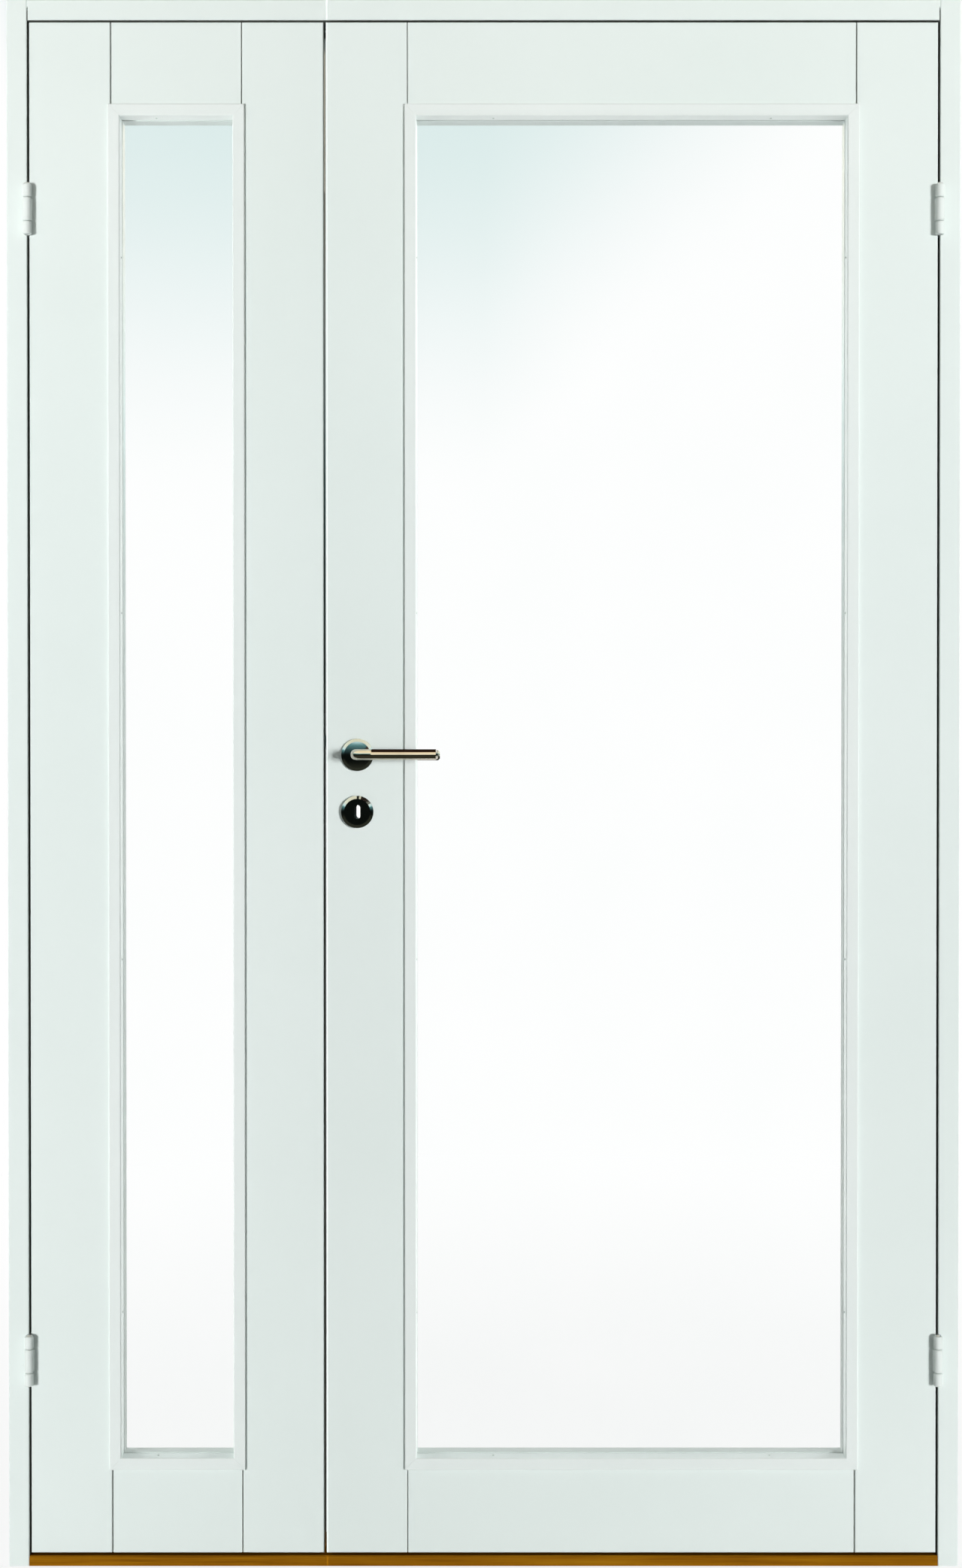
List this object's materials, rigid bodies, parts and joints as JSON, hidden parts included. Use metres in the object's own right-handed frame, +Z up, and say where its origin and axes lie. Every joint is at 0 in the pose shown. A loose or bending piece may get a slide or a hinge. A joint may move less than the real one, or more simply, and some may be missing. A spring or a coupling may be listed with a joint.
{
  "type": "glazed interior pair door with frame",
  "caption": "White framed interior door with a wide active leaf and a narrow passive leaf, both with tall panes, in a rebated frame with an oak threshold, lever handle and lock.",
  "frame": {"origin": "on the floor, midway between the jambs, in the mid-plane of the closed leaves", "axes": "+Z up, +X to the right seen from the hinge-barrel side, +Y towards the back of the frame"},
  "size_m": [1.268, 0.15, 2.088],
  "materials": {
    "white_paint": "satin white paint on wood",
    "oak": "oiled oak",
    "clear_glass": "clear float",
    "white_steel": "white powder coat",
    "satin_steel": "satin",
    "zinc_steel": "zinc plated",
    "seal_rubber": "matt",
    "foam_tape": "closed-cell foam",
    "black_plastic": "matt"
  },
  "bodies": {
    "frame": {"jamb_left": "white_paint", "jamb_right": "white_paint", "frame_head": "white_paint", "threshold": "oak", "frame_seal": "seal_rubber", "fixing_sleeves": "zinc_steel", "hinge_jamb_plate_left_low": "white_steel", "hinge_jamb_plate_left_high": "white_steel", "hinge_jamb_plate_right_low": "white_steel", "hinge_jamb_plate_right_high": "white_steel", "hinge_pins": "zinc_steel", "frame_screws": "zinc_steel", "head_keeper": "zinc_steel", "threshold_socket": "zinc_steel"},
    "passive_leaf": {"passive_hinge_stile": "white_paint", "passive_meeting_stile": "white_paint", "passive_top_rail": "white_paint", "passive_bottom_rail": "white_paint", "passive_pane": "clear_glass", "passive_bead_left": "white_paint", "passive_bead_right": "white_paint", "passive_bead_top": "white_paint", "passive_bead_bottom": "white_paint", "passive_rear_beads": "white_paint", "passive_glazing_tape": "foam_tape", "passive_setting_blocks": "black_plastic", "hinge_leaf_plate_left_low": "white_steel", "hinge_leaf_plate_left_high": "white_steel", "strike_plate": "zinc_steel", "flush_plate_top": "zinc_steel", "flush_plate_bottom": "zinc_steel", "passive_screws": "zinc_steel"},
    "active_leaf": {"active_lock_stile": "white_paint", "active_hinge_stile": "white_paint", "active_top_rail": "white_paint", "active_bottom_rail": "white_paint", "active_pane": "clear_glass", "active_bead_left": "white_paint", "active_bead_right": "white_paint", "active_bead_top": "white_paint", "active_bead_bottom": "white_paint", "active_rear_beads": "white_paint", "active_glazing_tape": "foam_tape", "active_setting_blocks": "black_plastic", "hinge_leaf_plate_right_low": "white_steel", "hinge_leaf_plate_right_high": "white_steel", "lock_case": "zinc_steel", "rose_front": "satin_steel", "rose_rear": "satin_steel", "escutcheon_front": "satin_steel", "escutcheon_rear": "satin_steel", "active_screws": "zinc_steel"},
    "lever_set": {"lever_front": "satin_steel", "lever_rear": "satin_steel", "spindle": "zinc_steel", "follower": "zinc_steel"},
    "latch": {"latch_bolt": "zinc_steel"},
    "lock_bolt": {"dead_bolt": "zinc_steel"},
    "top_flush_bolt": {"flush_bolt_top": "zinc_steel"},
    "bottom_flush_bolt": {"flush_bolt_bottom": "zinc_steel"}
  },
  "joints": [
    {"name": "passive_leaf_swing", "type": "hinge", "parent": "frame", "child": "passive_leaf", "pos_m": [-0.6055, -0.0265, 0.2765], "axis": [0, 0, -1], "range_deg": [0, 170]},
    {"name": "active_leaf_swing", "type": "hinge", "parent": "frame", "child": "active_leaf", "pos_m": [0.6055, -0.0265, 0.2765], "axis": [0, 0, 1], "range_deg": [0, 170]},
    {"name": "lever_turn", "type": "hinge", "parent": "active_leaf", "child": "lever_set", "pos_m": [-0.168, 0, 1.0845], "axis": [0, 1, 0], "range_deg": [0, 40], "stiffness_Nm_per_rad": 0.8, "springref_deg": -45.84},
    {"name": "latch_slide", "type": "slide", "parent": "active_leaf", "child": "latch", "axis": [1, 0, 0], "range_m": [0, 0.0105]},
    {"name": "lock_bolt_slide", "type": "slide", "parent": "active_leaf", "child": "lock_bolt", "axis": [-1, 0, 0], "range_m": [0, 0.014]},
    {"name": "top_flush_bolt_slide", "type": "slide", "parent": "passive_leaf", "child": "top_flush_bolt", "axis": [0, 0, 1], "range_m": [0, 0.013]},
    {"name": "bottom_flush_bolt_slide", "type": "slide", "parent": "passive_leaf", "child": "bottom_flush_bolt", "axis": [0, 0, -1], "range_m": [0, 0.013]}
  ],
  "couplings": [
    {"joint": "latch_slide", "follows": "lever_turn", "m_per_rad": 0.0149}
  ]
}
